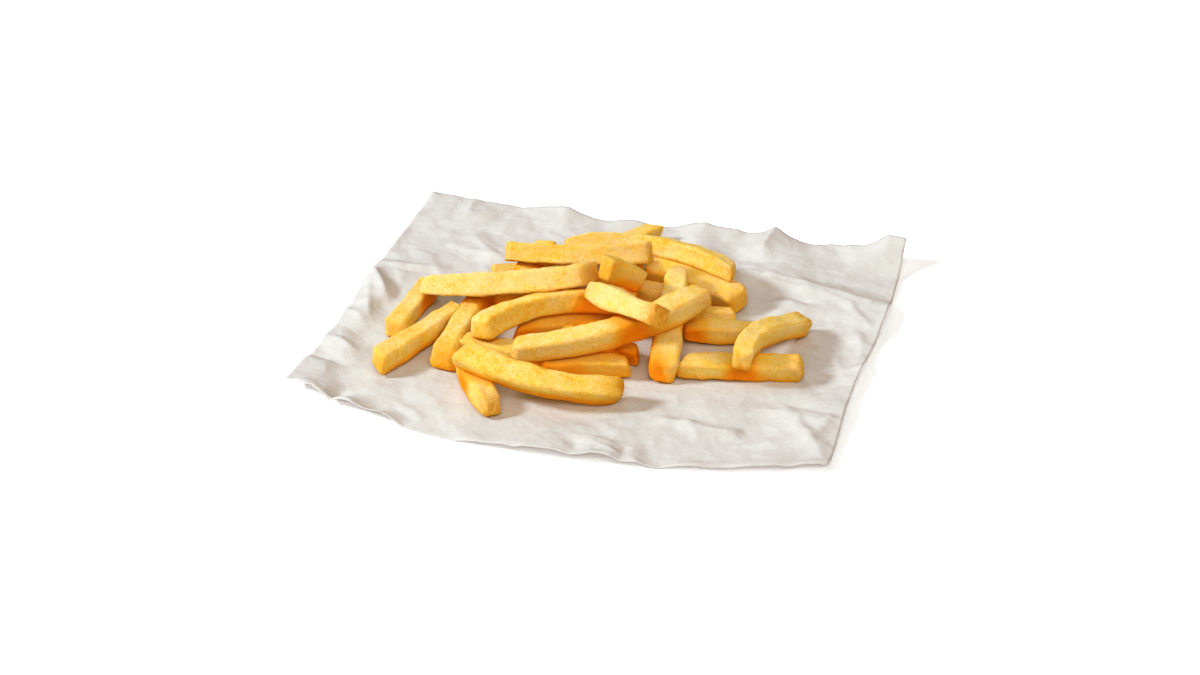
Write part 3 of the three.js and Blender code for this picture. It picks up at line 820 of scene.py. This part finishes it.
def mix(tree, factor, first, second, blend="MIX"):
    """Mix of two colours by a factor that varies over the surface or is a plain number."""
    node = tree.nodes.new("ShaderNodeMix")
    node.data_type = "RGBA"
    node.blend_type = blend
    sockets = {s.identifier: s for s in node.inputs}
    for identifier, value in (("Factor_Float", factor), ("A_Color", first), ("B_Color", second)):
        socket = sockets[identifier]
        if isinstance(value, bpy.types.NodeSocket):
            tree.links.new(value, socket)
        elif identifier == "Factor_Float":
            socket.default_value = value
        else:
            socket.default_value = (*value, 1)
    return next(s for s in node.outputs if s.identifier == "Result_Color")


def maths(tree, operation, first, second=0.0, clamp=False):
    """One sum on two values."""
    node = tree.nodes.new("ShaderNodeMath")
    node.operation = operation
    node.use_clamp = clamp
    for socket, value in zip(node.inputs, (first, second)):
        if isinstance(value, bpy.types.NodeSocket):
            tree.links.new(value, socket)
        else:
            socket.default_value = value
    return node.outputs[0]


def weighted(tree, *parts):
    """Sum of values, each times its share."""
    total = None
    for value, share in parts:
        part = maths(tree, "MULTIPLY", value, share)
        total = part if total is None else maths(tree, "ADD", total, part)
    return total


def attribute(tree, name, output="Fac"):
    """A value that the mesh carries."""
    node = tree.nodes.new("ShaderNodeAttribute")
    node.attribute_name = name
    return node.outputs[output]


def bump(tree, height, distance, strength):
    """Turns a height into a normal."""
    node = tree.nodes.new("ShaderNodeBump")
    node.inputs["Distance"].default_value = distance
    node.inputs["Strength"].default_value = strength
    tree.links.new(height, node.inputs["Height"])
    return node.outputs["Normal"]


GOLD_PALE = (0.92, 0.705, 0.340)
GOLD = (0.91, 0.63, 0.150)
GOLD_DEEP = (0.90, 0.42, 0.012)
# Painted shade colours for places in the heap hidden from the sky: amber, then strong orange.
PAINTED_SHADE_AMBER = (0.93, 0.51, 0.040)
PAINTED_SHADE_ORANGE = (0.90, 0.26, 0.0005)
BROWN = (0.60, 0.23, 0.008)
# Each pattern's scale to the millimetre.
PATCH_SCALE, MOTTLE_SCALE, SAND_SCALE, PIT_SCALE = 0.10, 0.42, 1.3, 2.6
# How much each counts in the tone, and the sand and the pits in the relief.
PATCH_TONE, MOTTLE_TONE, PALE_TONE = 0.55, 0.45, 0.25
SAND_RELIEF, PIT_RELIEF = 0.8, 0.4
CRUST_DEPTH = 0.0009
CRUST_STRENGTH = 0.85
INNER_LIGHT = 0.6
INNER_RADIUS = (1.0, 0.5, 0.15)
INNER_REACH = 0.0012
OILY = 0.12


def fried_potato():
    """Golden fried potato: pale and darker gold in soft patches and a sandy grain, darker gold along the
    edges, with painted shade in amber and strong orange where other fries hide the sky, brown where the
    ends caught, lit from within, slightly oily."""
    material, tree, shader = new_material("fried_potato")
    grain = attribute(tree, "grain", "Vector")
    patches = noise(tree, grain, PATCH_SCALE, detail=2)
    mottle = noise(tree, grain, MOTTLE_SCALE, detail=4, roughness=0.62)
    sand = noise(tree, grain, SAND_SCALE, detail=4, roughness=0.75)
    pits = noise(tree, grain, PIT_SCALE, detail=2, roughness=0.5)
    pale = attribute(tree, "pale")
    tone = weighted(tree, (patches, PATCH_TONE), (mottle, MOTTLE_TONE), (pale, PALE_TONE))
    colour = ramp(tree, tone, [(0.30, GOLD_DEEP), (0.45, GOLD), (0.62, GOLD_PALE)])
    sandy = ramp(tree, sand, [(0.40, GREY_10), (0.58, GREY_45)])
    rubbed = maths(tree, "MULTIPLY", attribute(tree, "edge"), sandy)
    colour = mix(tree, rubbed, colour, GOLD_DEEP)
    colour = mix(tree, ramp(tree, sand, [(0.50, BLACK), (0.64, GREY_85)]), colour, GOLD_PALE)
    colour = mix(tree, ramp(tree, sand, [(0.36, GREY_70), (0.48, BLACK)]), colour, GOLD_DEEP)
    caught = ramp(tree, mottle, [(0.35, GREY_35), (0.60, WHITE)])
    burnt = maths(tree, "MULTIPLY", attribute(tree, "brown"), caught, clamp=True)
    colour = mix(tree, burnt, colour, BROWN)
    painted_shade = attribute(tree, "painted_shade")
    # Painted shade: amber, then strong orange, where the other fries hide the sky from the surface.
    colour = mix(tree, ramp(tree, painted_shade, [(0.10, BLACK), (0.60, GREY_70)]), colour, PAINTED_SHADE_AMBER)
    colour = mix(tree, ramp(tree, painted_shade, [(0.24, BLACK), (0.80, GREY_85)]), colour, PAINTED_SHADE_ORANGE)
    tree.links.new(colour, shader.inputs["Base Color"])
    height = weighted(tree, (sand, SAND_RELIEF), (pits, PIT_RELIEF))
    tree.links.new(bump(tree, height, CRUST_DEPTH, CRUST_STRENGTH), shader.inputs["Normal"])
    tree.links.new(ramp(tree, sand, [(0.3, GREY_45), (0.7, GREY_60)]), shader.inputs["Roughness"])
    shader.inputs["Subsurface Weight"].default_value = INNER_LIGHT
    shader.inputs["Subsurface Radius"].default_value = INNER_RADIUS
    shader.inputs["Subsurface Scale"].default_value = INNER_REACH
    shader.inputs["Specular IOR Level"].default_value = OILY
    return material


PAPER_LIGHT = (0.582, 0.586, 0.556)
PAPER_DARK = (0.532, 0.536, 0.506)
# Each pattern's scale to the metre, and how much it counts in the tone or in the relief.
CLOUD_SCALE, CLOUD_TONE = 60, 0.55
FIBRE_SCALE, FIBRE_TONE, FIBRE_RELIEF = 620, 0.45, 0.2
RIPPLE_SCALE, RIPPLE_RELIEF = 180, 0.5
CREASED_CONES = ((62, 1.3), (118, 0.8), (215, 0.4))
PAPER_DEPTH = 0.0006
PAPER_STRENGTH = 0.8
PAPER_ROUGHNESS = 0.8
PAPER_GLOSS = 0.25


def greaseproof_paper():
    """Matt off-white paper with cloudy fibre, small soft creases and a fine grain."""
    material, tree, shader = new_material("greaseproof_paper")
    place = tree.nodes.new("ShaderNodeTexCoord").outputs["Object"]
    cloud = noise(tree, place, CLOUD_SCALE, detail=4, roughness=0.6)
    fibre = noise(tree, place, FIBRE_SCALE, detail=3, roughness=0.7)
    ripple = noise(tree, place, RIPPLE_SCALE, detail=5, roughness=0.6, distortion=0.4)
    tone = weighted(tree, (cloud, CLOUD_TONE), (fibre, FIBRE_TONE))
    colour = ramp(tree, tone, [(0.38, PAPER_DARK), (0.62, PAPER_LIGHT)])
    tree.links.new(colour, shader.inputs["Base Color"])
    creases = [(cones(tree, place, scale), share) for scale, share in CREASED_CONES]
    height = weighted(tree, (ripple, RIPPLE_RELIEF), *creases, (fibre, FIBRE_RELIEF))
    tree.links.new(bump(tree, height, PAPER_DEPTH, PAPER_STRENGTH), shader.inputs["Normal"])
    shader.inputs["Roughness"].default_value = PAPER_ROUGHNESS
    shader.inputs["Specular IOR Level"].default_value = PAPER_GLOSS
    return material


# ---------------------------------------------------------------- the pieces
fries = drop_fries()
potato = fried_potato()
lower = [(i, fry) for i, fry in enumerate(fries) if fry["lies_on_paper"]]
upper = [(i, fry) for i, fry in enumerate(fries) if not fry["lies_on_paper"]]
for name, members in (("fries_on_the_paper", lower), ("fries_on_top", upper)):
    layer = join_fries(name, members)
    layer.data.materials.append(potato)
    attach(layer, "root")
    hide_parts("fries")

sheet = build_sheet(fries)
sheet.data.materials.append(greaseproof_paper())
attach(sheet, "root")
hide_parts("paper")

# ---------------------------------------------------------------- floor, light and camera
CAMERA_TURN = 15.9
CAMERA_RISE = 29.97
CAMERA_DISTANCE = 1.1975
CAMERA_LENS = 80.0
CAMERA_SENSOR = 36.0
CAMERA_NEAR, CAMERA_FAR = 0.05, 20.0
AIM = Vector((-0.0009, -0.0038, 0.0))
FLOOR_SIZE = 6.0
FLOOR_DROP = 0.0003
FLOOR_COLOUR = (0.95, 0.95, 0.95, 1)
FLOOR_ROUGHNESS = 0.9
FLOOR_GLOSS = 0.1
FLOOR_GLOW = 0.14
LAMP_DISTANCE = 3.0
# Name, turn from the front, rise, size, power, colour.
LAMPS = [
    ("key_light", -72.0, 34.0, 0.55, 88.0, (0.98, 0.99, 1.03)),
    ("front_light", 15.0, 42.0, 1.8, 58.0, (1.0, 0.97, 0.92)),
    ("back_left_light", -150.0, 40.0, 1.2, 18.0, (1.0, 1.0, 1.0)),
    ("right_light", 75.0, 45.0, 2.0, 22.0, (1.0, 0.96, 0.90)),
    ("top_light", 0.0, 84.0, 1.6, 6.0, (1.0, 1.0, 1.0)),
]
SKY_COLOUR = (1, 0.93, 0.84, 1)
SKY_STRENGTH = 0.07
CONTRAST = 0.85
# Light in and light out, for the red and the blue of the picture.
WARM_RED = [(0.26, 0.30), (0.50, 0.56), (0.77, 0.79)]
WARM_BLUE = [(0.05, 0.025), (0.14, 0.105), (0.30, 0.27), (0.60, 0.60)]
RED, BLUE = 0, 2


def direction(turn, rise):
    """Unit direction towards a place that stands turn degrees right of the front and rise degrees up."""
    turn, rise = math.radians(turn), math.radians(rise)
    return Vector((math.sin(turn) * math.cos(rise), -math.cos(turn) * math.cos(rise), math.sin(rise)))


def point_at(thing, target):
    """Turns a light or camera so that it looks at the target with its top up."""
    thing.rotation_euler = (target - thing.location).to_track_quat("-Z", "Y").to_euler()


def add_floor():
    """A plain square of pale floor just under the sheet, glowing a little so that it stays white."""
    half = FLOOR_SIZE / 2
    mesh = bpy.data.meshes.new("floor")
    mesh.from_pydata([(-half, -half, -FLOOR_DROP), (half, -half, -FLOOR_DROP),
                      (half, half, -FLOOR_DROP), (-half, half, -FLOOR_DROP)], [], [(0, 1, 2, 3)])
    floor = bpy.data.objects.new("floor", mesh)
    bpy.context.scene.collection.objects.link(floor)
    material, _, shader = new_material("pale_floor")
    shader.inputs["Base Color"].default_value = FLOOR_COLOUR
    shader.inputs["Roughness"].default_value = FLOOR_ROUGHNESS
    shader.inputs["Specular IOR Level"].default_value = FLOOR_GLOSS
    shader.inputs["Emission Color"].default_value = (1, 1, 1, 1)
    shader.inputs["Emission Strength"].default_value = FLOOR_GLOW
    floor.data.materials.append(material)


def add_lights():
    """Round soft lamps round the part, all as far away and aimed at it, and a faint even sky."""
    for name, turn, rise, size, power, colour in LAMPS:
        lamp = bpy.data.lights.new(name, "AREA")
        lamp.shape = "DISK"
        lamp.size = size
        lamp.energy = power
        lamp.color = colour
        holder = bpy.data.objects.new(name, lamp)
        holder.location = AIM + direction(turn, rise) * LAMP_DISTANCE
        bpy.context.scene.collection.objects.link(holder)
        point_at(holder, AIM)
    world = bpy.data.worlds.new("soft_sky")
    world.use_nodes = True
    sky = world.node_tree.nodes["Background"]
    sky.inputs["Color"].default_value = SKY_COLOUR
    sky.inputs["Strength"].default_value = SKY_STRENGTH
    bpy.context.scene.world = world


def add_camera():
    """A long lens that looks down at the sheet from the front, a little right of its middle."""
    data = bpy.data.cameras.new("camera")
    data.lens = CAMERA_LENS
    data.sensor_width = CAMERA_SENSOR
    data.clip_start = CAMERA_NEAR
    data.clip_end = CAMERA_FAR
    camera = bpy.data.objects.new("camera", data)
    camera.location = AIM + direction(CAMERA_TURN, CAMERA_RISE) * CAMERA_DISTANCE
    bpy.context.scene.collection.objects.link(camera)
    point_at(camera, AIM)
    bpy.context.scene.camera = camera


def warm_shadows(view):
    """Lifts the reds and lowers the blues of half-lit places, and leaves the lit ones as they are."""
    view.use_curve_mapping = True
    mapping = view.curve_mapping
    for channel, points in ((RED, WARM_RED), (BLUE, WARM_BLUE)):
        for place, value in points:
            mapping.curves[channel].points.new(place, value)
    mapping.update()


add_floor()
add_lights()
add_camera()
view = bpy.context.scene.view_settings
view.view_transform = "Standard"
view.gamma = CONTRAST
warm_shadows(view)
